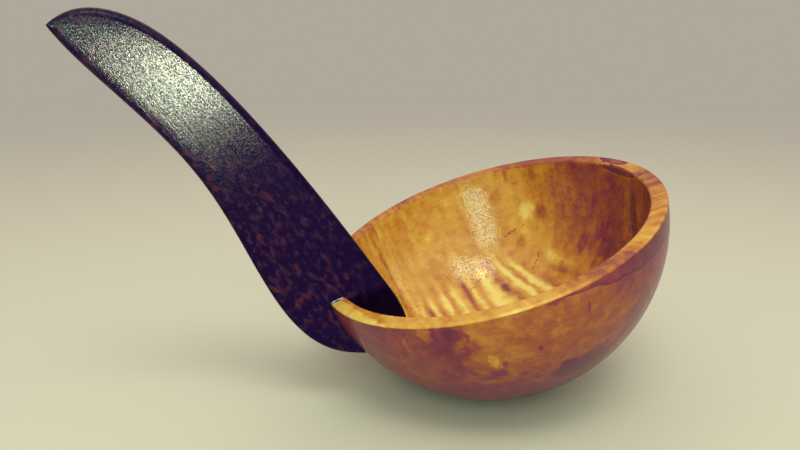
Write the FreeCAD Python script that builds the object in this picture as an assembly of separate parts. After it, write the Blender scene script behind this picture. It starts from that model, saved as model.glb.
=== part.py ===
import FreeCAD, Part
import math
import os

# A turned wooden ladle: a round bowl, and a flat S-curved handle set on edge.  The handle has an
# arc-shaped slot sawn into its foot, so it straddles the bowl's wall and is glued there.  The
# outer leg of the foot is the heel, the inner leg is the tongue.
#
# Frame: millimetres, +Z up, the handle rises towards -X, the handle's mid-plane is Y = 0.
# The origin is the centre of the small flat on the underside that the ladle rests on.
# The pieces are first drawn in the bowl's own frame, with the rim plane at Z = 0 and the bowl's
# axis along Z.  They are then leaned over and lifted on to the rest flat.

Vector = FreeCAD.Vector
ORIGIN = Vector(0, 0, 0)
UP = Vector(0, 0, 1)

# ---- Driving dimensions: bowl -------------------------------------------------------------
RIM_RADIUS = 60.0          # outside of the bowl at the rim
BOWL_DEPTH = 58.0          # rim plane down to the lowest point of the round outside
RIM_WALL = 5.3             # width of the rim
BOTTOM_WALL = 9.5          # thickness left at the bottom of the bowl
RIM_EASING = 0.8           # radius that softens both edges of the rim
REST_FLAT_RADIUS = 14.0    # small sanded flat on the underside
LEAN = 18.9                # degrees that the bowl's axis leans towards the handle at rest

# ---- Driving dimensions: handle -----------------------------------------------------------
# The outline's two edges are smooth curves, each led by a few guide points.
HANDLE_THICKNESS = 11.0    # thickness of the board
HANDLE_RISE = 106.1        # handle's tip above the rim plane
HANDLE_REACH = 40.5        # handle's tip beyond the outside of the rim
TIP_FALL = 7.5             # the back edge is led straight down from the tip this far
CREST_RISE = 3.5           # the front edge is led up over the tip by this much
CREST_SETBACK = 6.4        # and this far back from the tip
BROW_SETBACK = 25.3        # then level with the tip this far back, before it turns down
WAIST_HEIGHT = 51.4        # middle of the blade, where its two edges run nearly parallel
WAIST_HALF_GAP = 7.5       # the back edge's guide is this far above it, the front edge's below
WAIST_OFFSET = 17.2        # guide of the back edge there, beyond the outside of the rim
WAIST_WIDTH = 25.1         # from that guide across to the front edge's guide
BULGE_OFFSET = 18.8        # the back edge is led out again above the heel, beyond the rim
BULGE_HEIGHT = 10.5        # and this far above the rim plane
HEEL_CORNER = 8.4          # where the back edge turns in under the heel, beyond the rim
HEEL_CORNER_RISE = 2.8     # and this far above the heel's end
HEEL_DEPTH = 23.2          # where the heel ends on the outside of the wall, below the rim
TONGUE_ROOT = 14.6         # guide of the tongue's front edge, in from the inside of the rim
TONGUE_ROOT_DEPTH = 2.9    # and this far below the rim plane
TONGUE_REACH = 20.1        # guide of the tongue's lower curve, in from the inside of the rim
TONGUE_REACH_RISE = 11.1   # and this far above the tongue's end
TONGUE_DEPTH = 31.9        # where the tongue ends on the inside of the wall, below the rim
EDGE_ROUND = 2.5           # rounding along both edges of the board

# ---- Driving dimensions: glue line --------------------------------------------------------
GLUE_GAP = 0.25            # film of adhesive between the slot and the wall
BEAD_RADIUS = 0.6          # squeezed-out bead where the handle stands on the rim

# ---- Dependent sizes ----------------------------------------------------------------------
INNER_RADIUS = RIM_RADIUS - RIM_WALL
INNER_DEPTH = BOWL_DEPTH - BOTTOM_WALL
HALF_THICKNESS = HANDLE_THICKNESS / 2


class Ball:
    """A ball centred on the bowl's axis, given by its radius at the rim plane and its depth."""

    def __init__(self, rim_radius, depth):
        self.centre = (rim_radius ** 2 - depth ** 2) / (2 * depth)
        self.radius = depth + self.centre

    def half_width(self, below_rim):
        """Distance from the axis to the ball's surface at a level below the rim plane."""
        return math.sqrt(self.radius ** 2 - (self.centre + below_rim) ** 2)

    def segment(self, growth, top):
        """Solid part of the ball, grown by a margin, that lies below a level."""
        radius = self.radius + growth
        latitude = math.degrees(math.asin((top - self.centre) / radius))
        return Part.makeSphere(radius, Vector(0, 0, self.centre), UP, -90, latitude, 360)


OUTSIDE = Ball(RIM_RADIUS, BOWL_DEPTH)
INSIDE = Ball(INNER_RADIUS, INNER_DEPTH)


def arc(start, end, centre, radius):
    """Shorter arc in the XZ plane from start to end, about a centre."""
    middle = start + end - centre * 2
    middle.normalize()
    return Part.Arc(start, centre + middle * radius, end).toShape()


def wall_profile(ball, side):
    """One face of the bowl's wall, from the axis up to the rim, with the rim's corner eased.

    side is +1 for the outside of the wall and -1 for the inside.
    """
    centre = Vector(0, 0, ball.centre)
    bottom = Vector(0, 0, ball.centre - ball.radius)
    spread = ball.radius - side * RIM_EASING
    rise = ball.centre + RIM_EASING
    corner = Vector(math.sqrt(spread ** 2 - rise ** 2), 0, -RIM_EASING)
    touch = centre + (corner - centre) * (ball.radius / spread)
    lip = corner + UP * RIM_EASING
    return [arc(bottom, touch, centre, ball.radius), arc(touch, lip, corner, RIM_EASING)]


def make_bowl():
    """Turned bowl with a flat rim whose two edges are eased."""
    outside = wall_profile(OUTSIDE, 1)
    inside = wall_profile(INSIDE, -1)
    rim = Part.makeLine(outside[1].Vertexes[-1].Point, inside[1].Vertexes[-1].Point)
    axis = Part.makeLine(Vector(0, 0, -BOWL_DEPTH), Vector(0, 0, -INNER_DEPTH))
    profile = Part.Wire(Part.sortEdges(outside + inside + [rim, axis])[0])
    return Part.Face(profile).revolve(ORIGIN, UP, 360)


def make_slot():
    """What the saw takes out of the handle: the bowl's wall, grown all round by the glue gap."""
    outside = OUTSIDE.segment(GLUE_GAP, GLUE_GAP)
    inside = INSIDE.segment(-GLUE_GAP, GLUE_GAP)
    return outside.cut(inside)


def mid_wall(below_rim):
    """Distance from the bowl's axis to the middle of its wall, at a level below the rim."""
    return (OUTSIDE.half_width(below_rim) + INSIDE.half_width(below_rim)) / 2


def smooth_edge(poles):
    """Cubic curve guided by poles given as (distance from the bowl's axis, height)."""
    curve = Part.BSplineCurve()
    curve.buildFromPoles([Vector(-out, 0, up) for out, up in poles], False, 3)
    return curve.toShape()


def handle_outline():
    """Closed outline of the handle; its foot ends inside the wall, where the slot trims it."""
    tip = (RIM_RADIUS + HANDLE_REACH, HANDLE_RISE)
    heel_end = (mid_wall(HEEL_DEPTH), -HEEL_DEPTH)
    tongue_end = (mid_wall(TONGUE_DEPTH), -TONGUE_DEPTH)
    back_edge = smooth_edge([
        tip,
        (tip[0], tip[1] - TIP_FALL),
        (RIM_RADIUS + WAIST_OFFSET, WAIST_HEIGHT + WAIST_HALF_GAP),
        (RIM_RADIUS + BULGE_OFFSET, BULGE_HEIGHT),
        (RIM_RADIUS + HEEL_CORNER, HEEL_CORNER_RISE - HEEL_DEPTH),
        heel_end,
    ])
    front_edge = smooth_edge([
        tip,
        (tip[0] - CREST_SETBACK, tip[1] + CREST_RISE),
        (tip[0] - BROW_SETBACK, tip[1]),
        (RIM_RADIUS + WAIST_OFFSET - WAIST_WIDTH, WAIST_HEIGHT - WAIST_HALF_GAP),
        (INNER_RADIUS - TONGUE_ROOT, -TONGUE_ROOT_DEPTH),
        (INNER_RADIUS - TONGUE_REACH, TONGUE_REACH_RISE - TONGUE_DEPTH),
        tongue_end,
    ])
    foot = Part.makeLine(back_edge.Vertexes[-1].Point, front_edge.Vertexes[-1].Point)
    return Part.Wire(Part.sortEdges([back_edge, foot, front_edge])[0])


def make_board():
    """The handle's board with rounded edges, before its slot is sawn."""
    blank = Part.Face(handle_outline()).extrude(Vector(0, HANDLE_THICKNESS, 0))
    blank.translate(Vector(0, -HALF_THICKNESS, 0))
    long_edges = [edge for edge in blank.Edges if isinstance(edge.Curve, Part.BSplineCurve)]
    return blank.makeFillet(EDGE_ROUND, long_edges)


def make_beads():
    """Quarter-round beads of adhesive on the rim, against both faces of the handle."""
    length = RIM_WALL - 2 * RIM_EASING
    beads = []
    for side in (-1, 1):
        base = Vector(-(RIM_RADIUS - RIM_EASING), side * HALF_THICKNESS, 0)
        bead = Part.makeCylinder(BEAD_RADIUS, length, base, Vector(1, 0, 0))
        corner = base + Vector(0, min(side, 0) * BEAD_RADIUS, 0)
        beads.append(bead.common(Part.makeBox(length, BEAD_RADIUS, BEAD_RADIUS, corner)))
    return beads


def make_glue_line(board, slot, bowl):
    """Film of adhesive between the slot and the wall, with a bead on each side."""
    film = board.common(slot).cut(bowl)
    return film.fuse(make_beads()).removeSplitter()


def stand(shape):
    """Lean the bowl's frame over and lift it, so the rest flat lies at Z = 0 round the origin."""
    standing = shape.copy()
    standing.translate(Vector(0, 0, -OUTSIDE.centre))
    standing.rotate(ORIGIN, Vector(0, 1, 0), -LEAN)
    standing.translate(Vector(0, 0, math.sqrt(OUTSIDE.radius ** 2 - REST_FLAT_RADIUS ** 2)))
    return standing


def sand_rest_flat(bowl):
    """Take off what lies below Z = 0."""
    side = 2 * RIM_RADIUS
    below = Part.makeBox(side, side, side, Vector(-RIM_RADIUS, -RIM_RADIUS, -side))
    return bowl.cut(below)


def main():
    bowl = make_bowl()
    slot = make_slot()
    board = make_board()
    nodes = {
        "bowl": sand_rest_flat(stand(bowl)),
        "handle": stand(board.cut(slot)),
        "glue_line": stand(make_glue_line(board, slot, bowl)),
    }
    os.makedirs("parts", exist_ok=True)
    for name, shape in nodes.items():
        shape.exportStep("parts/" + name + ".step")
        print(name, len(shape.Solids), "solid", round(shape.Volume), "mm3", shape.isValid())


main()
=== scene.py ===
import math

import bmesh
import bpy
from mathutils import Matrix, Vector, noise


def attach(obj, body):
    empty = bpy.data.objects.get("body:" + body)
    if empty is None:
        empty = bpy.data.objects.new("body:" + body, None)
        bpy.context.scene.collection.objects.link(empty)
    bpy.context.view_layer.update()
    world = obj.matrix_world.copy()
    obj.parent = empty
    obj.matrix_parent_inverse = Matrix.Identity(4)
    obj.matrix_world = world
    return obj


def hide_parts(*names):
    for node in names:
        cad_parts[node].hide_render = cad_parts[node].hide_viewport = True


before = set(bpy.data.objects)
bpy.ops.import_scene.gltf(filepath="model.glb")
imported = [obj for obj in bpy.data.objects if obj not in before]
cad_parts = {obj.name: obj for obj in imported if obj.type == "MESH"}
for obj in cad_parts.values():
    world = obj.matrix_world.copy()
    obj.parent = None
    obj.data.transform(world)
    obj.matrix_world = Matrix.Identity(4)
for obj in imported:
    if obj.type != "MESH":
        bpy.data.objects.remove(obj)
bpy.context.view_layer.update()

bl_info = {
    "name": "Turned Wooden Ladle",
    "version": (1, 0, 0),
    "blender": (4, 5, 0),
    "location": "3D View > Sidebar > Ladle",
    "description": "Turns the bowl, saws the handle and sets the ladle on a pale studio floor",
    "category": "Object",
}

MM = 0.001

# Points nearer to each other than this are one point, in metres.
SAME = 1e-6

# How finely the pieces are built: steps round each edge of the rim, sections along the handle,
# steps round each corner of a section, cells across the board's faces and edges, lumps' divisions.
RIM_STEPS = 6
STATIONS = 150
CORNER_STEPS = 7
FACE_CELLS = 8
EDGE_CELLS = 3
LUMP_DIVISIONS = 4

# The rings of the bowl that are taken out below the rim, in rim easings.
CLEARED_BAND = 1.2

# The rounding of the board never takes up more than this share of its width.
MOST_ROUND = 0.45

# Edges that turn by more than this stay crisp, in degrees.
BOWL_CRISP = 40
HANDLE_CRISP = 32
GLUE_CRISP = 60

# Lumps of glue on the rim: side of the handle, share of the way out, size, lift.
LUMPS = (
    (-1, 0.10, 0.34, 0.1), (-1, 0.24, 0.50, 0.2), (-1, 0.36, 0.38, 0.0), (-1, 0.55, 0.72, 0.2),
    (-1, 0.66, 0.44, 0.1), (-1, 0.82, 0.50, 0.0), (-1, 0.955, 0.80, 0.0),
    (1, 0.08, 0.44, 0.1), (1, 0.30, 0.36, 0.1), (1, 0.48, 0.60, 0.1), (1, 0.63, 0.40, 0.0),
    (1, 0.90, 0.66, 0.0),
)
LUMP_SHAPE = (1.5, 0.9, 0.75)
LUMP_OFF_BOARD = 0.3
LUMP_ROUGHNESS = 0.00012
LUMP_PITS_PER_METRE = 2200
LUMP_SEED = 1


# ---- Figure of the bowl's wood ---------------------------------------
#
# In the bowl's own millimetres: x runs from the handle to the pouring side, y from the near side
# to the far side, z up from the rim plane, and a bearing from x towards y in degrees. A tone of
# nought is bark, a tone of one is sapwood, and a strength is what a mark adds to the tone.

INSIDE_TONE = 0.635
# The outside's low tone is partly the wood's own darker colour and partly painted shade.
OUTSIDE_TONE_AND_PAINTED_SHADE = 0.208
RIM_TONE = 0.585

# Curl across the grain: x, then the brightness of that ridge or hollow.
CURL = (
    (-30, 0.5), (-28, 0.62), (-26, 0.78), (-23.4, 0.10), (-21, 0.82), (-18, 0.30), (-15, 0.88),
    (-12.8, 0.40), (-10, 0.80), (-7.6, 0.55), (-5, 0.20), (-2, 0.74), (0.8, 0.32), (4.5, 0.92),
    (6.8, 0.66), (9, 0.16), (11, 0.5), (13, 0.95), (15, 0.36), (17, 0.88), (19.5, 0.26),
    (23, 0.42), (25.5, 0.26), (28.5, 0.8), (31.5, 0.34), (34, 0.5),
)

# Knots, clouds and pale patches inside: x and y, radii, strength.
INSIDE_PATCHES = (
    ((9.5, 26.9), (1.9, 1.7, 3), -0.27),
    ((-4.6, 29.4), (1.5, 2.4, 4), -0.16),
    ((-4.6, 33.6), (1.0, 2.4, 4), -0.10),
    ((23.4, 46.6), (3.4, 1.8, 3.4), -0.22),
    ((29.8, 45.6), (0.9, 2.0, 4), -0.22),
    ((35.3, 33.3), (3.0, 2.6, 3.2), -0.17),
    ((24.2, 34.4), (2.6, 2.0, 2.6), -0.14),
    ((31.8, 37.6), (4.2, 3.0, 3.6), 0.25),
    ((24.0, 42.9), (4.0, 2.6, 5.0), -0.08),
    ((30.0, 21.5), (3.0, 3.6, 4.0), 0.14),
    ((40.5, 12.5), (3.6, 2.2, 5.0), -0.10),
    ((43.0, -1.0), (4.5, 4.0, 6.0), -0.12),
    ((50.5, -15.5), (3.0, 4.2, 8.0), 0.12),
)

# Hairline cracks inside, the dark slit and the pale streak beside it: start, end, width, strength.
INSIDE_LINES = (
    ((-3.0, 32.2), (2.0, 34.2), 0.45, -0.26),
    ((2.0, 34.2), (8.0, 34.4), 0.4, -0.30),
    ((18.9, 24.6), (24.2, 25.4), 0.4, -0.24),
    ((24.2, 25.4), (28.8, 27.6), 0.45, -0.26),
    ((20.3, 39.8), (28.7, 36.8), 0.45, -0.24),
    ((-30.0, 26.6), (-25.5, 29.0), 0.4, -0.22),
    ((10.8, 52.2), (17.5, 49.3), 0.4, -0.16),
    ((52.4, -9.4), (50.3, -10.6), 1.7, -0.52),
    ((50.3, -10.6), (46.4, -15.6), 2.8, -0.46),
    ((52.6, -5.6), (46.6, -7.9), 2.8, 0.14),
)

# Knots, spots and pale patches outside: bearing and depth, radii, strength.
OUTSIDE_PATCHES = (
    ((-94, 29.5), (6.2, 6.0, 4.6), -0.26),
    ((-84, 31.5), (4.5, 4.5, 4.6), -0.18),
    ((-96, 26.5), (3.0, 3.0, 2.4), -0.12),
    ((-117.5, 15.6), (1.5, 1.5, 2.8), 0.20),
    ((-114.5, 18.0), (0.9, 0.9, 1.6), -0.20),
    ((-117, 21.6), (2.4, 2.4, 1.8), -0.14),
    ((-104, 15.2), (0.8, 0.8, 1.0), -0.20),
    ((-105.5, 28), (2.0, 2.0, 0.8), -0.10),
    ((-133.5, 2.0), (2.0, 2.0, 3.6), 0.20),
    ((-141, 7.0), (0.7, 0.7, 3.2), 0.14),
    ((-126, 3.6), (3.4, 3.4, 2.4), -0.08),
    ((-131, 2.6), (0.9, 0.9, 2.6), -0.14),
    ((-122, 5.4), (0.7, 0.7, 1.8), -0.16),
    ((-116, 4.0), (6.5, 6.5, 5.0), 0.07),
    ((-88, 7.6), (0.6, 0.6, 1.6), -0.14),
    ((-49, 8.0), (0.8, 0.8, 2.2), -0.20),
    ((-97, 1.4), (2.6, 2.6, 0.7), -0.16),
)

# Lower edge of the dark band outside, under the pouring rim: bearing, depth.
BAND_EDGE = (
    (-100, 0.0), (-97, 0.7), (-90, 1.5), (-85, 2.3), (-80, 4.5), (-72, 5.5), (-65, 6.5),
    (-45, 7.2),
)
DEEPEST_BAND = 10.0

# Streaks on the rim: start, end, width, strength.
RIM_LINES = (
    ((55.2, 12.6), (56.4, 15.6), 0.6, 0.16),
    ((54.5, -12.0), (58.4, -12.6), 0.9, -0.20),
    ((-19.0, 56.5), (-3.0, 59.5), 0.7, -0.24),
)

# Where the inside gives way to the outside, in millimetres out from the inside of the wall, and
# where both give way to the rim, in height.
WALL_CROSSING = (0.15, 0.9)
RIM_CROSSING = (-0.95, -0.5)

# Gloss coat on the bowl: least and most inside, all over outside, and on the far rim.
INSIDE_COAT = (0.2, 1.0)
OUTSIDE_COAT = 0.45
FAR_RIM_COAT = 0.25

# Satin on the handle: least and most roughness and sheen, and the share of sheen at the foot.
SATIN_ROUGHNESS = (0.10, 0.20)
SATIN_SHEEN = (0.035, 0.125)
FOOT_SHEEN = 0.28

# The handle's grain is turned this far about y from the way the ladle stands.
GRAIN_TURN = math.radians(-35)

# Heights of the fine relief in the finishes, in metres.
CURL_RELIEF = 0.00006
SKIN_RELIEF = 0.00005
STREAK_RELIEF = 0.00003
GRIT_RELIEF = 0.000034
GLUE_RELIEF = 0.0001


# ---- Studio ----------------------------------------------------------

FLOOR_RADIUS = 6
FLOOR_SIDES = 96

# Where the soft boxes aim.
LADLE_MIDDLE = (-0.02, 0, 0.05)
HANDLE_BLADE = (-0.09, 0, 0.1)

# Soft boxes: name, place, target, size, watts, the setting that scales them, tint, roll.
LAMPS = (
    ("overhead", (0.04, -0.08, 1.1), LADLE_MIDDLE, (2.2, 2.2), 11.7, "overhead",
     (0.98, 1.0, 0.88), 0),
    ("ceiling", (-0.12, -0.42, 0.95), LADLE_MIDDLE, (0.55, 0.30), 4.0, "overhead",
     (0.82, 1.0, 0.72), 0),
    ("window", (-0.40, -0.93, 0.38), LADLE_MIDDLE, (0.31, 1.12), 8.6, "window",
     (0.60, 1.0, 0.70), 20),
    ("low", (-0.066, -0.75, 0.074), HANDLE_BLADE, (0.13, 0.08), 10.2, "low",
     (0.91, 1.0, 0.69), 0),
)

# The lamps that light one piece only.
LIT_ALONE = {"low": "handle_board"}

CAMERA_PLACE = (-0.099006, -0.212972, 0.125541)
CAMERA_RIGHT = (0.95217, -0.30557, -0.0002)
CAMERA_DOWN = (-0.08614, -0.26790, -0.95959)
CAMERA_AHEAD = (0.29318, 0.91370, -0.28141)
CAMERA_LENS = 31.5
CAMERA_SENSOR = 36
CAMERA_NEAREST = 0.01


# ---- Settings --------------------------------------------------------

def length(name, description, default):
    """A length property, in metres."""
    return bpy.props.FloatProperty(
        name=name, description=description, default=default, unit="LENGTH", precision=5)


def colour(name, description, default):
    """A colour property."""
    return bpy.props.FloatVectorProperty(
        name=name, description=description, default=default, size=3, subtype="COLOR",
        min=0.0, max=1.0)


def share(name, description, default, highest=1.0):
    """A plain number property that starts at nought."""
    return bpy.props.FloatProperty(
        name=name, description=description, default=default, min=0.0, max=highest,
        subtype="FACTOR")


class LadleBowlSettings(bpy.types.PropertyGroup):
    """Sizes of the bowl, and how far it leans as it stands"""

    rim_radius: length("Rim radius", "Outside of the bowl at the rim", 0.060)
    depth: length("Depth", "Rim plane down to the lowest point of the round outside", 0.058)
    rim_wall: length("Rim wall", "Width of the rim", 0.0053)
    bottom_wall: length("Bottom wall", "Thickness left at the bottom", 0.0095)
    rim_easing: length("Rim easing", "Radius that softens both edges of the rim", 0.0008)
    flat_radius: length("Flat radius", "Small sanded flat that the ladle rests on", 0.014)
    lean: bpy.props.FloatProperty(
        name="Lean", description="How far the bowl's axis leans towards the handle",
        default=math.radians(18.9), subtype="ANGLE")
    meridians: bpy.props.IntProperty(
        name="Meridians", description="Faces round the bowl", default=256, min=32, max=512)


class LadleHandleSettings(bpy.types.PropertyGroup):
    """Sizes of the handle, and the guides that lead its two long edges"""

    thickness: length("Thickness", "Thickness of the board", 0.011)
    rise: length("Rise", "Tip above the rim plane", 0.1061)
    reach: length("Reach", "Tip beyond the outside of the rim", 0.0405)
    tip_fall: length("Tip fall", "The back edge is led straight down this far", 0.0075)
    crest_rise: length("Crest rise", "The front edge is led up over the tip", 0.0035)
    crest_setback: length("Crest setback", "And this far back from the tip", 0.0064)
    brow_setback: length("Brow setback", "Level with the tip this far back", 0.0253)
    waist_height: length("Waist height", "Middle of the blade above the rim plane", 0.0514)
    waist_half_gap: length("Waist half gap", "Half the step between the guides there", 0.0075)
    waist_offset: length("Waist offset", "Back edge's guide beyond the rim there", 0.0172)
    waist_width: length("Waist width", "Across to the front edge's guide", 0.0251)
    bulge_offset: length("Bulge offset", "Back edge's guide beyond the rim over the heel", 0.0188)
    bulge_height: length("Bulge height", "Height of that guide above the rim plane", 0.0105)
    heel_corner: length("Heel corner", "Where the back edge turns in, beyond the rim", 0.0084)
    heel_corner_rise: length("Heel corner rise", "That guide above the heel's end", 0.0028)
    heel_depth: length("Heel depth", "Heel's end below the rim plane", 0.0232)
    tongue_root: length("Tongue root", "Tongue's guide in from the inside of the rim", 0.0146)
    tongue_root_depth: length("Tongue root depth", "That guide below the rim plane", 0.0029)
    tongue_reach: length("Tongue reach", "Lower guide in from the inside of the rim", 0.0201)
    tongue_reach_rise: length("Tongue reach rise", "That guide above the tongue's end", 0.0111)
    tongue_depth: length("Tongue depth", "Tongue's end below the rim plane", 0.0319)
    edge_round: length("Edge round", "Rounding along both edges of the board", 0.0025)


class LadleGlueSettings(bpy.types.PropertyGroup):
    """Thickness, lumps and colours of the adhesive"""

    gap: length("Gap", "Film of adhesive between the slot and the wall", 0.00025)
    bead: length("Bead", "Size of the squeezed-out lumps on the rim", 0.0006)
    tint: colour("Tint", "Cured adhesive on the rim", (0.30, 0.29, 0.36))
    film: colour("Film", "Adhesive left in the joint", (0.030, 0.016, 0.028))


class LadleWoodSettings(bpy.types.PropertyGroup):
    """Colours of the two woods, from the darkest to the palest"""

    bark: colour("Bark", "Bark and the darkest spots in the bowl", (0.105, 0.006, 0.034))
    heart: colour("Heart", "Dark heartwood", (0.190, 0.017, 0.044))
    brown: colour("Brown", "Red-brown wood", (0.305, 0.062, 0.020))
    orange: colour("Orange", "Orange wood", (0.485, 0.166, 0.020))
    honey: colour("Honey", "Honey-coloured wood", (0.60, 0.29, 0.045))
    sap: colour("Sap", "Pale yellow sapwood", (0.76, 0.52, 0.14))
    night: colour("Night", "Ground colour of the handle", (0.0040, 0.0010, 0.0135))
    plum: colour("Plum", "Between the handle's ground and its flecks", (0.012, 0.0035, 0.015))
    russet: colour("Russet", "Flecks in the handle", (0.032, 0.0060, 0.014))
    rust: colour("Rust", "Brightest flecks in the handle", (0.056, 0.0100, 0.018))


class LadleStageSettings(bpy.types.PropertyGroup):
    """Colours and lights of the studio"""

    floor_tint: colour("Floor tint", "Pale floor", (0.575, 0.50, 0.445))
    backdrop_tint: colour("Backdrop tint", "Pale backdrop", (0.434, 0.392, 0.328))
    near: length("Near", "Floor starts to fade into the backdrop", 0.08)
    far: length("Far", "Floor has faded into the backdrop", 1.0)
    fill: share("Fill", "Even light from all round", 0.95)
    overhead: share("Overhead", "Strength of the soft box above", 1.0, 10.0)
    window: share("Window", "Strength of the tall soft box beside the camera", 1.0, 10.0)
    low: share("Low", "Strength of the small soft box that glances off the handle", 1.0, 10.0)


# ---- Work in the bowl's own frame ------------------------------------

class Ball:
    """A ball on the bowl's axis, given by its radius at the rim plane and its depth."""

    def __init__(self, rim_radius, depth):
        self.centre = (rim_radius ** 2 - depth ** 2) / (2 * depth)
        self.radius = depth + self.centre

    def half_width(self, below_rim):
        """Distance from the axis to the ball, at a level below the rim plane."""
        return math.sqrt(self.radius ** 2 - (self.centre + below_rim) ** 2)


def wall_balls(bowl):
    """The balls of the bowl's outside and inside."""
    inner_radius = bowl.rim_radius - bowl.rim_wall
    inner_depth = bowl.depth - bowl.bottom_wall
    return Ball(bowl.rim_radius, bowl.depth), Ball(inner_radius, inner_depth)


def standing_matrix(bowl):
    """Takes the bowl's own frame, with the rim plane at nought, to the frame at rest."""
    outside = wall_balls(bowl)[0]
    lift = math.sqrt(outside.radius ** 2 - bowl.flat_radius ** 2)
    return (Matrix.Translation((0, 0, lift)) @ Matrix.Rotation(-bowl.lean, 4, "Y")
            @ Matrix.Translation((0, 0, -outside.centre)))


def only(*pieces):
    """Selects some objects and nothing else, and makes the first of them active."""
    bpy.ops.object.select_all(action="DESELECT")
    for piece in pieces:
        piece.select_set(True)
    bpy.context.view_layer.objects.active = pieces[0]


def apply_place(*pieces):
    """Leaves the objects at the origin, with their places in their meshes."""
    only(*pieces)
    bpy.ops.object.transform_apply(location=True, rotation=True, scale=True)


def stand(piece, bowl):
    """Leans a piece over and lifts it, from the bowl's own frame to the frame at rest."""
    piece.matrix_world = standing_matrix(bowl)
    apply_place(piece)


def edit(piece, kind="VERT", test=None, needed=True):
    """Opens a piece in edit mode with all of it selected, or only what passes a test."""
    only(piece)
    bpy.ops.object.mode_set(mode="EDIT")
    bpy.ops.mesh.select_mode(type=kind)
    bpy.ops.mesh.select_all(action="DESELECT" if test else "SELECT")
    if test is None:
        return
    mesh = bmesh.from_edit_mesh(piece.data)
    chosen = [part for part in {"VERT": mesh.verts, "EDGE": mesh.edges}[kind] if test(part)]
    for part in chosen:
        part.select_set(True)
    mesh.select_flush_mode()
    bmesh.update_edit_mesh(piece.data)
    if needed and not chosen:
        raise RuntimeError(f"nothing on {piece.name} passes the test")


def done():
    """Leaves edit mode."""
    bpy.ops.object.mode_set(mode="OBJECT")


def add_ball(ball, meridians, growth=0.0):
    """A whole ball in the bowl's own frame."""
    bpy.ops.mesh.primitive_uv_sphere_add(
        segments=meridians, ring_count=meridians // 2, radius=ball.radius + growth,
        location=(0, 0, ball.centre))
    piece = bpy.context.object
    apply_place(piece)
    return piece


def add_wall(bowl, growth=0.0, top=0.0):
    """The bowl's wall: two balls cut off at a level, with a flat ring between them."""
    outer_ball, inner_ball = wall_balls(bowl)
    outer = add_ball(outer_ball, bowl.meridians, growth)
    inner = add_ball(inner_ball, bowl.meridians, -growth)
    for piece in (outer, inner):
        edit(piece)
        bpy.ops.mesh.bisect(plane_co=(0, 0, top), plane_no=(0, 0, 1), clear_outer=True,
                            threshold=SAME)
        if piece is inner:
            bpy.ops.mesh.select_all(action="SELECT")
            bpy.ops.mesh.flip_normals()
        done()
    only(outer, inner)
    bpy.ops.object.join()
    edit(outer, "EDGE", lambda edge: edge.is_boundary)
    bpy.ops.mesh.bridge_edge_loops()
    done()
    return outer


def on_rim_circle(edge):
    """Whether an edge runs along the inside or the outside of the rim."""
    first, second = (vertex.co for vertex in edge.verts)
    return max(abs(first.z), abs(second.z)) < SAME and abs(first.length - second.length) < SAME


def ease_rim(piece, easing):
    """Rounds both edges of the rim, with the level rings just below it taken out for room."""
    def just_below_rim(edge):
        first, second = (vertex.co.z for vertex in edge.verts)
        return -CLEARED_BAND * easing < first < -SAME and abs(first - second) < SAME

    edit(piece, "EDGE", just_below_rim, needed=False)
    bpy.ops.mesh.dissolve_edges(use_verts=True)
    done()
    edit(piece, "EDGE", on_rim_circle)
    bpy.ops.mesh.bevel(offset=easing, segments=RIM_STEPS, affect="EDGES")
    done()


def drop_loose_corners(piece):
    """Takes out the corners that only two edges meet in, which a cut can leave on its rim."""
    edit(piece, "VERT", lambda vertex: len(vertex.link_edges) == 2, needed=False)
    bpy.ops.mesh.dissolve_verts()
    done()


def smooth(piece, crisp):
    """Smooth shading up to an angle in degrees, with flat faces left looking flat."""
    only(piece)
    bpy.ops.object.shade_smooth_by_angle(angle=math.radians(crisp))
    weighted = piece.modifiers.new("flat_faces", "WEIGHTED_NORMAL")
    weighted.keep_sharp = True
    bpy.ops.object.modifier_apply(modifier=weighted.name)


# ---- Node building ---------------------------------------------------

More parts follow.
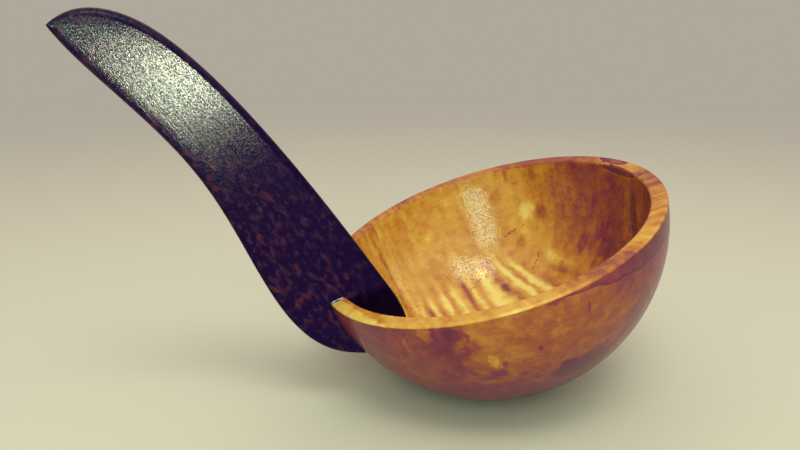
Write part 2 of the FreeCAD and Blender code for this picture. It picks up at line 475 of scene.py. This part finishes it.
class Recipe:
    """A node tree; each method adds nodes to it and returns what comes out of them."""

    def __init__(self, tree):
        self.tree = tree

    def plug(self, socket, value):
        """Links a socket to an output, or sets it to a plain value."""
        if isinstance(value, bpy.types.NodeSocket):
            self.tree.links.new(value, socket)
        else:
            socket.default_value = value

    def node(self, kind, inputs=None, **settings):
        """A new node, with its settings made and its sockets linked or set."""
        made = self.tree.nodes.new("ShaderNode" + kind)
        for key, value in settings.items():
            setattr(made, key, value)
        for key, value in (inputs or {}).items():
            self.plug(made.inputs[key], value)
        return made

    def maths(self, operation, *values, clamp=False):
        """One sum on plain numbers."""
        made = self.node("Math", dict(enumerate(values)), operation=operation, use_clamp=clamp)
        return made.outputs[0]

    def add(self, *values):
        """All the values added up."""
        total = values[0]
        for value in values[1:]:
            total = self.maths("ADD", total, value)
        return total

    def times(self, *values):
        """All the values multiplied together."""
        product = values[0]
        for value in values[1:]:
            product = self.maths("MULTIPLY", product, value)
        return product

    def mix(self, factor, first, second):
        """The first number at a factor of nought, the second at one."""
        return self.node("Mix", {0: factor, 2: first, 3: second}).outputs[0]

    def vector(self, operation, *values):
        """One sum on vectors."""
        made = self.node("VectorMath", operation=operation)
        for index, value in enumerate(values):
            self.plug(made.inputs["Scale" if operation == "SCALE" and index else index], value)
        return made.outputs["Value" if operation in ("LENGTH", "DOT_PRODUCT") else 0]

    def join(self, x, y, z):
        """A vector from its three parts."""
        return self.node("CombineXYZ", {0: x, 1: y, 2: z}).outputs[0]

    def parts(self, vector):
        """The three parts of a vector."""
        return tuple(self.node("SeparateXYZ", {0: vector}).outputs)

    def place(self, location, turn, scale):
        """Object coordinates seen from a place, turned and in units of the scale."""
        start = self.node("TexCoord").outputs["Object"]
        made = self.node("Mapping", {"Vector": start, "Location": location, "Rotation": turn,
                                     "Scale": (scale, scale, scale)}, vector_type="TEXTURE")
        return made.outputs[0]

    def noise(self, point, size, detail, roughness, stretch=(1, 1, 1), output="Fac"):
        """Noise whose features are about the given size, stretched along the axes."""
        scaled = self.vector("DIVIDE", point, tuple(size * longer for longer in stretch))
        made = self.node("TexNoise", {"Vector": scaled, "Scale": 1.0, "Detail": detail,
                                      "Roughness": roughness})
        return made.outputs[output]

    def step(self, value, low, high, start=0.0, end=1.0):
        """Smooth step from start to end as the value goes from low to high."""
        made = self.node("MapRange", {"Value": value, "From Min": low, "From Max": high,
                                      "To Min": start, "To Max": end},
                         interpolation_type="SMOOTHSTEP")
        return made.outputs[0]

    def mottled(self, point, size, detail, roughness, low, high, start=-0.5, end=0.5,
                stretch=(1, 1, 1)):
        """Noise spread out so that what lies from low to high in it runs from start to end."""
        return self.step(self.noise(point, size, detail, roughness, stretch),
                         low, high, start, end)

    def stray(self, point, size, reach):
        """The point, led astray by up to half the reach so that edges come out ragged."""
        astray = self.vector("SUBTRACT", self.noise(point, size, 2, 0.5, output="Color"),
                             (0.5, 0.5, 0.5))
        return self.vector("ADD", point, self.vector("SCALE", astray, float(reach)))

    def blotch(self, point, centre, radii, soft):
        """One in the middle of a rounded patch, falling to nought round its edge."""
        away = self.vector("DIVIDE", self.vector("SUBTRACT", point, centre), radii)
        return self.step(self.vector("LENGTH", away), 1 - soft, 1 + soft, 1.0, 0.0)

    def line(self, point, start, end, width, core=0.35):
        """One on a thin straight line between two points, fading past the core of its width."""
        start, end = Vector(start), Vector(end)
        along = end - start
        from_start = self.vector("SUBTRACT", point, tuple(start))
        share_along = self.maths(
            "DIVIDE", self.vector("DOT_PRODUCT", from_start, tuple(along)),
            along.length_squared, clamp=True)
        nearest = self.vector("SCALE", tuple(along), share_along)
        gap = self.vector("LENGTH", self.vector("SUBTRACT", from_start, nearest))
        return self.step(gap, core * width, width, 1.0, 0.0)

    def ramp(self, value, stops, between="LINEAR"):
        """A colour that follows (position, colour) stops as the value runs from nought to one."""
        made = self.node("ValToRGB", {"Fac": value})
        made.color_ramp.interpolation = between
        while len(made.color_ramp.elements) < len(stops):
            made.color_ramp.elements.new(0.5)
        for element, (position, tint) in zip(made.color_ramp.elements, stops):
            element.position = position
            element.color = (*tint, 1)
        return made.outputs["Color"]

    def profile(self, value, stops, highest=1.0, between="LINEAR"):
        """A level that follows (place, level) stops, as a share of the highest."""
        start = stops[0][0]
        span = stops[-1][0] - start
        return self.ramp(
            self.maths("DIVIDE", self.add(value, -start), span),
            [((place - start) / span, (level / highest,) * 3) for place, level in stops], between)

    def bump(self, height, distance, normal=None):
        """Fine relief of a given height, on top of an earlier one if there is one."""
        made = self.node("Bump", {"Height": height, "Distance": distance})
        if normal is not None:
            self.plug(made.inputs["Normal"], normal)
        return made.outputs[0]


class Finish(Recipe):
    """The recipe of a new material."""

    def __init__(self, name):
        self.material = bpy.data.materials.new(name)
        self.material.use_nodes = True
        super().__init__(self.material.node_tree)
        self.shader = self.tree.nodes["Principled BSDF"]

    def surface(self, **values):
        """Sets or links the shader's own sockets, and gives back the material."""
        for key, value in values.items():
            socket = self.shader.inputs[key.replace("_", " ").title().replace("Ior", "IOR")]
            tinted = socket.type == "RGBA" and not isinstance(value, bpy.types.NodeSocket)
            self.plug(socket, (*value, 1) if tinted else value)
        return self.material


def bowl_place(finish, bowl):
    """Where a point of a material lies in the bowl's own frame, in millimetres."""
    rim_centre = standing_matrix(bowl) @ Vector()
    return finish.place(rim_centre, (0, -bowl.lean, 0), MM)


# ---- Materials -------------------------------------------------------

class BowlFigure:
    """The figure of the bowl's wood, worked out for every point in the bowl's millimetres."""

    def __init__(self, bowl, finish):
        add, times = finish.add, finish.times
        self.finish = finish
        self.outside, self.inside = wall_balls(bowl)
        self.point = bowl_place(finish, bowl)
        self.x, self.y, self.z = x, y, z = finish.parts(self.point)
        self.out_to = finish.maths("SQRT", add(times(x, x), times(y, y)))
        self.bearing = finish.maths("DEGREES", finish.maths("ARCTAN2", y, x))

        self.ragged = finish.stray(self.point, 1.9, 2.4)
        drifting = finish.stray(self.point, 9, 5)
        self.cloud = finish.mottled(self.point, 17, 4, 0.55, 0.25, 0.75)
        self.mottle = finish.mottled(drifting, 4.5, 4, 0.6, 0.25, 0.75)
        fibre = finish.mottled(self.point, 0.8, 3, 0.6, 0.3, 0.7, stretch=(16, 1, 1))
        self.grain = add(times(self.cloud, 0.17), times(self.mottle, 0.18), times(fibre, 0.06))

        # Curl: bands across the grain, each a pale ridge and a darker hollow.
        lean_in = times(add(y, -33.0), 0.27, finish.step(x, 4, 14))
        wobble = times(add(finish.noise(self.point, 6, 3, 0.6), -0.5), 3.4)
        across = add(x, lean_in, wobble)
        curl = add(finish.profile(across, CURL, between="EASE"), -0.5)
        in_bottom = times(finish.step(z, -38, -30, 1.0, 0.14), finish.step(x, 28, 38, 1, 0))
        self.curl = times(curl, in_bottom)
        self.close_curl = finish.mottled(
            finish.join(across, y, z), 1.0, 1.0, 0.4, 0.34, 0.66, stretch=(2.3, 26, 26))

    def on_inside(self, x, y):
        """The point of the inside that lies below a place in the rim plane."""
        radius = self.inside.radius / MM
        return x, y, self.inside.centre / MM - math.sqrt(radius ** 2 - x ** 2 - y ** 2)

    def on_outside(self, bearing, depth):
        """The point of the outside at a bearing and a depth."""
        out = self.outside.half_width(depth * MM) / MM
        angle = math.radians(bearing)
        return out * math.cos(angle), out * math.sin(angle), -depth

    @staticmethod
    def on_rim(x, y):
        """The point of the rim plane at a place."""
        return x, y, 0.0

    def with_patches(self, tone, patches, soft, place_of):
        """The tone with rounded patches added, each with an edge as soft as given."""
        for place, radii, strength in patches:
            patch = self.finish.blotch(self.ragged, place_of(*place), radii, soft)
            tone = self.finish.add(tone, self.finish.times(patch, strength))
        return tone

    def with_lines(self, tone, lines, place_of):
        """The tone with thin straight lines added."""
        for start, end, width, strength in lines:
            line = self.finish.line(self.ragged, place_of(*start), place_of(*end), width)
            tone = self.finish.add(tone, self.finish.times(line, strength))
        return tone

    def inside_tone(self):
        """Pale in the bottom, partly lighter wood and partly a painted reflection; darker
        heartwood with upright streaks up the pouring side.
        """
        finish, x, y, z = self.finish, self.x, self.y, self.z
        add, times, step = finish.add, finish.times, finish.step
        far_left = step(x, -22, -33)
        heart = step(add(x, times(self.cloud, 5.0)), 25, 43)
        deep_heart = step(add(x, times(y, -0.28), times(self.cloud, 4.0)), 34, 47)
        round_wall = finish.vector(
            "SCALE", finish.vector("NORMALIZE", finish.join(x, y, 0.0)), 15.0)
        up_wall = finish.join(0.0, 0.0, finish.maths("DIVIDE", z, 34))
        upright = finish.mottled(
            finish.vector("ADD", round_wall, up_wall), 1.0, 2, 0.5, 0.3, 0.7)
        # The step in z pales the bottom: partly lighter wood, partly a painted reflection of the
        # soft boxes above.
        tone = add(
            INSIDE_TONE, self.grain, times(self.curl, 0.84),
            times(self.close_curl, far_left, 0.30), step(z, -44, -27, 0.05, 0),
            times(upright, step(heart, 0, 1, 0.04, 0.10)),
            times(heart, step(y, 12, 34, -0.25, -0.165)), times(deep_heart, -0.15))
        tone = self.with_patches(tone, INSIDE_PATCHES, 0.5, self.on_inside)
        return self.with_lines(tone, INSIDE_LINES, self.on_inside)

    def outside_tone(self):
        """A golden field among red-brown, with a darker band hung under the pouring rim; the low
        base tone is partly painted shade, and painted shade darkens it further towards the bottom.
        """
        finish, bearing, mottle, z = self.finish, self.bearing, self.mottle, self.z
        add, times, step = finish.add, finish.times, finish.step
        golden = times(step(add(bearing, times(mottle, 6.0)), -132, -118),
                       step(bearing, -86, -66, 1, 0),
                       step(add(z, times(mottle, 4.0)), -29, -22))
        far_side = step(bearing, -40, 10)
        # Painted shade: the last term below darkens the outside towards the bottom.
        tone = add(
            OUTSIDE_TONE_AND_PAINTED_SHADE, times(self.grain, 0.85), times(golden, 0.16), times(far_side, 0.14),
            times(step(z, -42, -26, 1, 0), -0.06))
        tone = self.with_patches(tone, OUTSIDE_PATCHES, 0.4, self.on_outside)

        edge_depth = times(finish.profile(bearing, BAND_EDGE, DEEPEST_BAND), DEEPEST_BAND)
        above_edge = add(z, edge_depth, times(mottle, 1.1))
        band = times(step(above_edge, -0.15, 0.15), step(bearing, -15, 35, 1, 0),
                     step(bearing, -102, -98))
        lip = times(band, step(above_edge, 0.1, 1.5, 1, 0))
        return add(tone, times(band, -0.09), times(lip, -0.16))

    def rim_tone(self):
        """Yellow sapwood by the handle, rings across the pouring end, a bark pocket in it."""
        finish, x, y, mottle = self.finish, self.x, self.y, self.mottle
        add, times, step, blotch = finish.add, finish.times, finish.step, finish.blotch
        across_rings = add(times(x, 0.3), times(y, 0.95))
        rings = finish.mottled(
            finish.join(across_rings, x, 0.0), 1.0, 1.0, 0.4, 0.36, 0.64, stretch=(2.5, 60, 1))
        near_end = times(step(x, 20, 40), step(y, 0, -9))
        from_handle = add(
            times(add(x, 55.4), -0.973), times(add(y, 7.1), -0.2315), times(mottle, 0.9))
        sap = times(step(from_handle, 0.0, 1.3), step(y, 2, -2))
        brown_near_side = blotch(self.ragged, (11, -57, 0), (15, 6, 4), 0.4)
        # The step in y that adds 0.09 lightens the near side of the rim: partly paler wood, partly
        # painted light.
        tone = add(
            RIM_TONE, times(self.grain, 1.1), times(rings, near_end, 0.17),
            times(near_end, -0.19), step(y, -4, 20, 0, -0.11),
            times(step(x, 20, 34), step(y, 6, 16, 0, -0.12)),
            times(brown_near_side, -0.28), times(self.close_curl, step(x, 38, 26), 0.1),
            times(step(y, -14, -36), 0.09), times(sap, 0.26))
        dark_edge = times(step(add(self.out_to, times(mottle, 0.8)), 58.9, 59.7),
                          step(y, 0, 20))
        pocket = blotch(self.ragged, (58.0, 7.8, 0.0), (2.9, 7.6, 3.0), 0.10)
        pocket_heart = blotch(self.ragged, (58.0, 6.0, 0.0), (1.0, 4.6, 3.0), 0.5)
        tone = add(tone, times(dark_edge, -0.26))
        tone = add(tone, times(pocket, -0.38), times(pocket_heart, 0.10))
        return self.with_lines(tone, RIM_LINES, self.on_rim)

    def tone(self, through_wall, up_to_rim):
        """The tone of the whole bowl, with the bark that runs down the wall inside the rim."""
        finish = self.finish
        tone = finish.mix(through_wall, self.inside_tone(), self.outside_tone())
        tone = finish.mix(up_to_rim, tone, self.rim_tone())
        swept = finish.stray(finish.join(self.out_to, self.y, self.z), 2.6, 1.0)
        bark = finish.blotch(swept, (54.4, -0.5, 0.0), (1.0, 11.4, 2.6), 0.16)
        pale_edge = finish.blotch(swept, (54.4, -0.3, 0.0), (1.3, 12.4, 3.4), 0.1)
        return finish.add(tone, finish.times(pale_edge, 0.12), finish.times(bark, -0.42))


def light_wood(bowl, wood):
    """Curly honey-coloured wood under a clear gloss finish that lies thinner on the outside."""
    finish = Finish("light_wood")
    figure = BowlFigure(bowl, finish)
    from_inside = finish.maths("SUBTRACT", finish.vector("LENGTH", finish.vector(
        "SUBTRACT", figure.point, (0.0, 0.0, figure.inside.centre / MM))),
        figure.inside.radius / MM)
    through_wall = finish.step(from_inside, *WALL_CROSSING)
    up_to_rim = finish.step(figure.z, *RIM_CROSSING)
    tint = finish.ramp(figure.tone(through_wall, up_to_rim), [
        (0.02, wood.bark), (0.20, wood.heart), (0.36, wood.brown), (0.54, wood.orange),
        (0.74, wood.honey), (0.98, wood.sap)])
    waves = finish.bump(figure.curl, CURL_RELIEF)
    skin = finish.bump(finish.noise(figure.point, 0.85, 2, 0.6), SKIN_RELIEF, waves)
    pores = finish.mottled(figure.point, 0.68, 1, 0.5, 0.41, 0.57, *INSIDE_COAT)
    coat = finish.mix(through_wall, pores, OUTSIDE_COAT)
    far_rim = finish.times(up_to_rim, finish.step(figure.y, -8, 2))
    coat = finish.mix(far_rim, coat, FAR_RIM_COAT)
    return finish.surface(
        base_color=tint, roughness=0.45, specular_ior_level=0.2, coat_weight=coat,
        coat_roughness=0.06, coat_ior=1.5, normal=skin, coat_normal=skin)


def dark_wood(wood):
    """Nearly black wood, mottled with red-brown flecks along its grain, with a satin finish."""
    finish = Finish("dark_wood")
    add, times, step, mottled = finish.add, finish.times, finish.step, finish.mottled
    point = finish.place((0, 0, 0), (0, GRAIN_TURN, 0), MM)
    x, y, z = finish.parts(point)
    flecks = mottled(finish.stray(point, 4, 2.4), 1.9, 3, 0.5, 0.44, 0.74, 0.0, 1.0,
                     (1, 1, 1.8))
    # Flecks are strongest towards the tip: partly the wood's own flecks, partly painted sheen
    # where the soft box's reflection falls.
    fleck_share_and_painted_sheen = times(step(x, -8, -24, 0.55, 1.0),
                          step(add(z, times(x, -1.0)), 58, 92, 0.45, 1.0))
    broad = mottled(point, 11, 2, 0.5, 0.3, 0.7, 0.5, 1.0)
    fibre = mottled(point, 0.35, 2, 0.5, 0.3, 0.7, 0.7, 1.1, (1, 1, 18))
    tint = finish.ramp(times(times(flecks, fleck_share_and_painted_sheen), broad, fibre), [
        (0.0, wood.night), (0.3, wood.plum), (0.75, wood.russet), (1.0, wood.rust)])
    streaks = finish.bump(finish.noise(point, 0.45, 1, 0.5, (1, 1, 30)), STREAK_RELIEF)
    skin = finish.bump(finish.noise(point, 0.32, 2, 0.7, (1, 1, 1.8)), GRIT_RELIEF, streaks)
    glint = mottled(point, 0.32, 2, 0.7, 0.4, 0.6, *SATIN_ROUGHNESS, (1, 1, 2.6))
    sheen = mottled(point, 0.43, 1, 0.5, 0.36, 0.60, *SATIN_SHEEN, (1, 1, 1.6))
    sheen = times(sheen, step(z, 104, 146, FOOT_SHEEN, 1.0))
    return finish.surface(
        base_color=tint, roughness=glint, specular_ior_level=sheen, normal=skin)


def cured_glue(bowl, glue):
    """Clouded adhesive where it was squeezed out on the rim, dark in the joint below."""
    finish = Finish("cured_glue")
    point = bowl_place(finish, bowl)
    level = finish.parts(point)[2]
    speck = finish.noise(point, 0.7, 2, 0.6)
    cloudy = finish.step(finish.maths("MULTIPLY_ADD", speck, 3.0, level), 1.5, 2.3)
    tint = finish.ramp(cloudy, [(0.0, glue.film), (1.0, glue.tint)])
    skin = finish.bump(speck, GLUE_RELIEF)
    return finish.surface(base_color=tint, roughness=0.35, specular_ior_level=0.2, normal=skin)


def seen(recipe):
    """One for rays from the camera and for those that glossy or clear surfaces send on."""
    path = recipe.node("LightPath").outputs
    glossy = recipe.maths("MAXIMUM", path["Is Camera Ray"], path["Is Glossy Ray"])
    return recipe.maths("MAXIMUM", glossy, path["Is Transmission Ray"])


def pale_floor(stage):
    """Matt floor that runs into the backdrop's colour some way behind the ladle."""
    finish = Finish("pale_floor")
    finish.surface(base_color=stage.floor_tint, roughness=1.0, specular_ior_level=0.0)
    place = finish.node("TexCoord").outputs["Object"]
    far = finish.step(finish.vector("LENGTH", place), stage.near, stage.far)
    haze = finish.node("Emission", {"Color": (*stage.backdrop_tint, 1), "Strength": 1.0})
    mixed = finish.node("MixShader", {
        0: finish.times(far, seen(finish)), 1: finish.shader.outputs[0], 2: haze.outputs[0]})
    finish.plug(finish.tree.nodes["Material Output"].inputs["Surface"], mixed.outputs[0])
    return finish.material


def backdrop(world, stage):
    """A plain backdrop to look at, and a dimmer even light on the ladle."""
    world.use_nodes = True
    sky = Recipe(world.node_tree)
    back = sky.tree.nodes["Background"]
    sky.plug(back.inputs["Color"], (*stage.backdrop_tint, 1))
    level = sky.node("MapRange", {"Value": seen(sky), "To Min": stage.fill, "To Max": 1.0})
    sky.plug(back.inputs["Strength"], level.outputs[0])


# ---- Operators -------------------------------------------------------

class LADLE_OT_turn_bowl(bpy.types.Operator):
    """Turn the round bowl, ease its rim and sand the small flat it rests on"""
    bl_idname = "ladle.turn_bowl"
    bl_label = "Turn the Bowl"

    def execute(self, context):
        bowl = context.scene.ladle_bowl
        piece = add_wall(bowl)
        piece.name = "turned_bowl"
        ease_rim(piece, bowl.rim_easing)
        stand(piece, bowl)
        edit(piece)
        bpy.ops.mesh.bisect(plane_co=(0, 0, 0), plane_no=(0, 0, 1), use_fill=True,
                            clear_inner=True, threshold=SAME)
        done()
        smooth(piece, BOWL_CRISP)
        piece.data.materials.append(light_wood(bowl, context.scene.ladle_wood))
        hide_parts("bowl")
        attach(piece, "root")
        return {"FINISHED"}


def guided_line(guides):
    """Points along a smooth line in the handle's plane, led by (distance out, height) guides."""
    bpy.ops.curve.primitive_nurbs_path_add()
    piece = bpy.context.object
    line = piece.data.splines[0]
    line.points.add(len(guides) - len(line.points))
    for point, (out, up) in zip(line.points, guides):
        point.co = (-out, 0, up, 1)
    line.use_endpoint_u = True
    line.order_u = 4
    line.resolution_u = STATIONS // (len(guides) - 1)
    only(piece)
    bpy.ops.object.convert(target="MESH")
    piece = bpy.context.object
    points = [vertex.co.copy() for vertex in piece.data.vertices]
    bpy.data.objects.remove(piece)
    return points


def edge_lines(bowl, size):
    """The board's back and front edges, from the tip to the ends of the heel and the tongue."""
    outside, inside = wall_balls(bowl)
    rim, inner = bowl.rim_radius, bowl.rim_radius - bowl.rim_wall
    tip = (rim + size.reach, size.rise)

    def in_wall(depth):
        return (outside.half_width(depth) + inside.half_width(depth)) / 2, -depth

    back = guided_line((
        tip,
        (tip[0], tip[1] - size.tip_fall),
        (rim + size.waist_offset, size.waist_height + size.waist_half_gap),
        (rim + size.bulge_offset, size.bulge_height),
        (rim + size.heel_corner, size.heel_corner_rise - size.heel_depth),
        in_wall(size.heel_depth)))
    front = guided_line((
        tip,
        (tip[0] - size.crest_setback, tip[1] + size.crest_rise),
        (tip[0] - size.brow_setback, tip[1]),
        (rim + size.waist_offset - size.waist_width, size.waist_height - size.waist_half_gap),
        (inner - size.tongue_root, -size.tongue_root_depth),
        (inner - size.tongue_reach, size.tongue_reach_rise - size.tongue_depth),
        in_wall(size.tongue_depth)))
    return back, front


def board_section(width, thickness, radius):
    """A rectangle with round corners, as (distance across, thickness) steps once round."""
    radius = min(radius, MOST_ROUND * width)
    half = thickness / 2
    corners = ((width - radius, half - radius, 0), (radius, half - radius, 90),
               (radius, radius - half, 180), (width - radius, radius - half, 270))

    def on_corner(corner, turn):
        across, deep, start = corners[corner % 4]
        angle = math.radians(start + turn)
        return across + radius * math.cos(angle), deep + radius * math.sin(angle)

    steps = []
    for corner in range(4):
        steps += [on_corner(corner, 90 * turn / CORNER_STEPS) for turn in range(CORNER_STEPS + 1)]
        here, there = steps[-1], on_corner(corner + 1, 0)
        cells = FACE_CELLS if corner % 2 == 0 else EDGE_CELLS
        steps += [(here[0] + (there[0] - here[0]) * cell / cells,
                   here[1] + (there[1] - here[1]) * cell / cells) for cell in range(1, cells)]
    return steps


def runs_along_tube(edge):
    """Whether an edge of an upright tube runs from one end to the other."""
    return abs(edge.verts[0].co.z - edge.verts[1].co.z) > SAME


def loft_board(back, front, size):
    """A tube drawn out through rounded sections from the tip to the foot."""
    sections = [board_section((there - here).length, size.thickness, size.edge_round)
                for here, there in zip(back, front)]
    around, last = len(sections[0]), len(sections) - 1
    bpy.ops.mesh.primitive_cylinder_add(vertices=around, radius=1, depth=1)
    piece = bpy.context.object
    edit(piece, "EDGE", runs_along_tube)
    bpy.ops.mesh.subdivide(number_cuts=last - 1)
    done()
    for vertex in piece.data.vertices:
        station = round((vertex.co.z + 0.5) * last)
        step = round(math.atan2(vertex.co.y, vertex.co.x) / math.tau * around) % around
        across, deep = sections[station][step]
        line = front[station] - back[station]
        place = back[station] + (line.normalized() * across if line.length else line)
        vertex.co = (place.x, deep, place.z)
    edit(piece)
    bpy.ops.mesh.remove_doubles(threshold=SAME)
    bpy.ops.mesh.dissolve_degenerate(threshold=SAME)
    bpy.ops.mesh.select_all(action="SELECT")
    bpy.ops.mesh.normals_make_consistent(inside=False)
    done()
    return piece


class LADLE_OT_saw_handle(bpy.types.Operator):
    """Saw the S-curved board, round its edges and cut the slot that fits over the wall"""
    bl_idname = "ladle.saw_handle"
    bl_label = "Saw the Handle"

    def execute(self, context):
        bowl, size = context.scene.ladle_bowl, context.scene.ladle_handle
        gap = context.scene.ladle_glue.gap
        piece = loft_board(*edge_lines(bowl, size), size)
        piece.name = "handle_board"
        cutter = add_wall(bowl, gap, gap)
        only(piece)
        cut = piece.modifiers.new("slot", "BOOLEAN")
        cut.object = cutter
        cut.solver = "MANIFOLD"
        bpy.ops.object.modifier_apply(modifier=cut.name)
        bpy.data.objects.remove(cutter)
        drop_loose_corners(piece)
        stand(piece, bowl)
        smooth(piece, HANDLE_CRISP)
        piece.data.materials.clear()
        piece.data.materials.append(dark_wood(context.scene.ladle_wood))
        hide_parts("handle")
        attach(piece, "root")
        return {"FINISHED"}


def add_lump(bowl, glue, half_board, side, along, size, lift):
    """One lump of glue on the rim, beside the handle."""
    inner, outer = bowl.rim_radius - bowl.rim_wall, bowl.rim_radius
    radius = glue.bead * size
    out = inner + (outer - inner) * along
    place = (-math.sqrt(out ** 2 - half_board ** 2),
             side * (half_board + LUMP_OFF_BOARD * radius), lift * radius)
    bpy.ops.mesh.primitive_ico_sphere_add(
        subdivisions=LUMP_DIVISIONS, radius=radius, location=place)
    lump = bpy.context.object
    lump.scale = LUMP_SHAPE
    return lump


class LADLE_OT_run_glue(bpy.types.Operator):
    """Finish the glue line and squeeze small lumps out of it on the rim"""
    bl_idname = "ladle.run_glue"
    bl_label = "Run the Glue"

    def execute(self, context):
        bowl, glue = context.scene.ladle_bowl, context.scene.ladle_glue
        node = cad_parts["glue_line"]
        node.data.materials.clear()
        node.data.materials.append(cured_glue(bowl, glue))
        half_board = context.scene.ladle_handle.thickness / 2
        lumps = [add_lump(bowl, glue, half_board, *lump) for lump in LUMPS]
        apply_place(*lumps)
        bpy.ops.object.join()
        piece = bpy.context.object
        piece.name = "squeezed_glue"
        noise.seed_set(LUMP_SEED)
        for vertex in piece.data.vertices:
            vertex.co += LUMP_ROUGHNESS * noise.noise_vector(vertex.co * LUMP_PITS_PER_METRE)
        stand(piece, bowl)
        smooth(piece, GLUE_CRISP)
        piece.data.materials.append(node.data.materials[0])
        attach(piece, "root")
        return {"FINISHED"}


def soft_box(name, place, target, size, watts, tint, roll):
    """A rectangular soft box that faces a target, rolled in degrees about the line to it."""
    lamp = bpy.data.lights.new(name, "AREA")
    lamp.shape = "RECTANGLE"
    lamp.size, lamp.size_y = size
    lamp.energy = watts
    lamp.color = tint
    box = bpy.data.objects.new(name, lamp)
    bpy.context.scene.collection.objects.link(box)
    box.location = place
    box.rotation_euler = (Vector(target) - Vector(place)).to_track_quat("-Z", "Y").to_euler()
    box.rotation_euler.rotate_axis("Z", math.radians(roll))
    box.visible_camera = False
    return box


def shine_on(box, piece):
    """Makes a soft box light one piece only."""
    lit = bpy.data.collections.new("lit_by_" + box.name)
    lit.objects.link(bpy.data.objects[piece])
    box.light_linking.receiver_collection = lit


def add_camera(scene):
    """The camera, level with the handle's tip and looking down at the bowl."""
    camera = bpy.data.objects.new("camera", bpy.data.cameras.new("camera"))
    scene.collection.objects.link(camera)
    camera.data.sensor_width = CAMERA_SENSOR
    camera.data.lens = CAMERA_LENS
    camera.data.clip_start = CAMERA_NEAREST
    turn = Matrix((CAMERA_RIGHT, -Vector(CAMERA_DOWN), -Vector(CAMERA_AHEAD))).transposed()
    camera.matrix_world = Matrix.Translation(CAMERA_PLACE) @ turn.to_4x4()
    scene.camera = camera


class LADLE_OT_set_stage(bpy.types.Operator):
    """Lay the pale floor, hang the soft boxes and set up the camera"""
    bl_idname = "ladle.set_stage"
    bl_label = "Set the Stage"

    def execute(self, context):
        scene, stage = context.scene, context.scene.ladle_stage
        bpy.ops.mesh.primitive_circle_add(
            vertices=FLOOR_SIDES, radius=FLOOR_RADIUS, fill_type="NGON")
        floor = bpy.context.object
        floor.name = "floor"
        floor.data.materials.append(pale_floor(stage))
        for name, place, target, size, watts, setting, tint, roll in LAMPS:
            box = soft_box(name, place, target, size, watts * getattr(stage, setting), tint, roll)
            if name in LIT_ALONE:
                shine_on(box, LIT_ALONE[name])
        scene.world = bpy.data.worlds.new("studio")
        backdrop(scene.world, stage)
        add_camera(scene)
        scene.view_settings.view_transform = "Standard"
        return {"FINISHED"}


# ---- Panel and registration ------------------------------------------

SETTINGS = {
    "ladle_bowl": LadleBowlSettings,
    "ladle_handle": LadleHandleSettings,
    "ladle_glue": LadleGlueSettings,
    "ladle_wood": LadleWoodSettings,
    "ladle_stage": LadleStageSettings,
}
OPERATORS = (LADLE_OT_turn_bowl, LADLE_OT_saw_handle, LADLE_OT_run_glue, LADLE_OT_set_stage)


class LADLE_PT_panel(bpy.types.Panel):
    """Lists the operators in the order they run, then all the settings"""
    bl_idname = "LADLE_PT_panel"
    bl_label = "Ladle"
    bl_space_type = "VIEW_3D"
    bl_region_type = "UI"
    bl_category = "Ladle"

    def draw(self, context):
        for operator in OPERATORS:
            self.layout.operator(operator.bl_idname)
        for name, group in SETTINGS.items():
            box = self.layout.box()
            for setting in group.__annotations__:
                box.prop(getattr(context.scene, name), setting)


def register():
    """Registers the settings, the operators and the panel."""
    for group in SETTINGS.values():
        bpy.utils.register_class(group)
    for name, group in SETTINGS.items():
        setattr(bpy.types.Scene, name, bpy.props.PointerProperty(type=group))
    for operator in OPERATORS:
        bpy.utils.register_class(operator)
    bpy.utils.register_class(LADLE_PT_panel)


def unregister():
    """Takes back what was registered."""
    bpy.utils.unregister_class(LADLE_PT_panel)
    for operator in reversed(OPERATORS):
        bpy.utils.unregister_class(operator)
    for name, group in SETTINGS.items():
        delattr(bpy.types.Scene, name)
        bpy.utils.unregister_class(group)


def main():
    """Builds the ladle and its stage."""
    register()
    bpy.ops.ladle.turn_bowl()
    bpy.ops.ladle.saw_handle()
    bpy.ops.ladle.run_glue()
    bpy.ops.ladle.set_stage()


if __name__ == "__main__":
    main()
